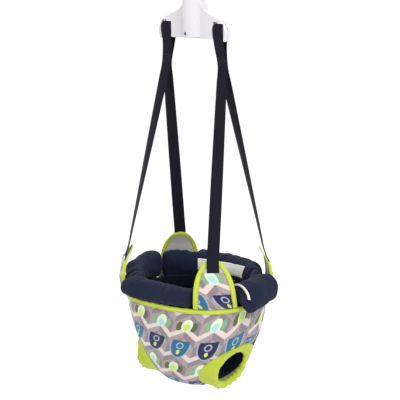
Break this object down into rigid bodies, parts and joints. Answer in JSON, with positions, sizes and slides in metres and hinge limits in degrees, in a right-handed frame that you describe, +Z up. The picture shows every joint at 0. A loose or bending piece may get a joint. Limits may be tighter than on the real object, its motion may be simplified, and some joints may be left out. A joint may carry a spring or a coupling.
{
  "type": "doorway baby jumper",
  "caption": "Doorway baby jumper: a spring clamp, an adjustable strap, a sprung spreader bar and a padded fabric bucket seat with leg cuffs and tabs.",
  "frame": {"origin": "middle of the doorway clamp's grip, halfway between its two pads", "axes": "+Z up, along the hanging line; the rider faces -Y and their left is +X; the clamp grips along Y"},
  "size_m": [0.4527, 0.3366, 1.3817],
  "materials": {
    "white_plastic": "glossy moulded",
    "grey_plastic": "moulded satin",
    "zinc_steel": "zinc plated",
    "spring_steel": "drawn wire",
    "pad_rubber": "matte",
    "webbing": "woven webbing",
    "navy_fabric": "padded woven fabric",
    "lime_fabric": "woven tape",
    "printed_fabric": "printed woven fabric",
    "grey_fabric": "plain woven lining",
    "white_fabric": "woven tape"
  },
  "bodies": {
    "clamp_pivot": {"clamp_pivot_bolt": "zinc_steel", "clamp_pivot_nut": "zinc_steel", "clamp_strap_spool": "grey_plastic", "clamp_torsion_spring": "spring_steel"},
    "clamp_front": {"clamp_arm_front": "white_plastic", "clamp_pad_front": "pad_rubber"},
    "clamp_rear": {"clamp_arm_rear": "white_plastic", "clamp_pad_rear": "pad_rubber"},
    "upper_strap": {"hanging_strap": "webbing"},
    "hanger": {"hanger_cap": "white_plastic", "hanger_bar": "zinc_steel", "guard_tube": "grey_plastic", "spring_upper_pin": "zinc_steel", "bounce_spring": "spring_steel"},
    "adjuster": {"strap_adjuster": "grey_plastic"},
    "spreader": {"spreader_front_shell": "white_plastic", "spreader_rear_shell": "white_plastic", "spreader_base_screw": "zinc_steel", "screw_wing_left": "zinc_steel", "screw_wing_right": "zinc_steel", "strap_roller_left": "grey_plastic", "strap_roller_right": "grey_plastic", "spring_lower_pin": "zinc_steel"},
    "seat": {"seat_strap_left": "webbing", "seat_strap_right": "webbing", "seat_liner": "navy_fabric", "seat_base_pad": "navy_fabric", "collar_front": "navy_fabric", "collar_left": "navy_fabric", "collar_back": "navy_fabric", "collar_right": "navy_fabric", "leg_cuff_left": "lime_fabric", "leg_cuff_right": "lime_fabric", "rim_binding": "lime_fabric", "tab_front_left_binding": "lime_fabric", "tab_front_right_binding": "lime_fabric", "tab_back_left_binding": "lime_fabric", "tab_back_right_binding": "lime_fabric", "seat_outer_shell": "printed_fabric", "tab_front_left_outer": "printed_fabric", "tab_front_right_outer": "printed_fabric", "tab_back_left_outer": "printed_fabric", "tab_back_right_outer": "printed_fabric", "tab_front_left_lining": "grey_fabric", "tab_front_right_lining": "grey_fabric", "tab_back_left_lining": "grey_fabric", "tab_back_right_lining": "grey_fabric", "care_label": "white_fabric"}
  },
  "joints": [
    {"name": "clamp_front_open", "type": "hinge", "parent": "clamp_pivot", "child": "clamp_front", "pos_m": [0, 0, -0.11], "axis": [1, 0, 0], "range_deg": [0, 16], "stiffness_Nm_per_rad": 0.8, "springref_deg": -25.78},
    {"name": "clamp_rear_open", "type": "hinge", "parent": "clamp_pivot", "child": "clamp_rear", "pos_m": [0, 0, -0.11], "axis": [1, 0, 0], "range_deg": [-16, 0], "stiffness_Nm_per_rad": 0.8, "springref_deg": 25.78},
    {"name": "strap_swing", "type": "hinge", "parent": "clamp_pivot", "child": "upper_strap", "pos_m": [0, 0, -0.11], "axis": [1, 0, 0], "range_deg": [-12, 12]},
    {"name": "strap_adjust", "type": "slide", "parent": "upper_strap", "child": "hanger", "axis": [0, 0, -1], "range_m": [0, 0.085], "deforming": ["hanging_strap"]},
    {"name": "adjuster_travel", "type": "slide", "parent": "upper_strap", "child": "adjuster", "axis": [0, 0, -1], "range_m": [0, 0.17]},
    {"name": "spring_extension", "type": "slide", "parent": "hanger", "child": "spreader", "axis": [0, 0, -1], "range_m": [0, 0.09], "stiffness_N_per_m": 1200, "springref_m": -0.022, "deforming": ["bounce_spring"]},
    {"name": "seat_swing", "type": "hinge", "parent": "spreader", "child": "seat", "pos_m": [0, 0, -0.4647], "axis": [1, 0, 0], "range_deg": [-15, 15]}
  ],
  "couplings": [
    {"joint": "clamp_rear_open", "follows": "clamp_front_open", "ratio": -1},
    {"joint": "adjuster_travel", "follows": "strap_adjust", "ratio": 2}
  ]
}
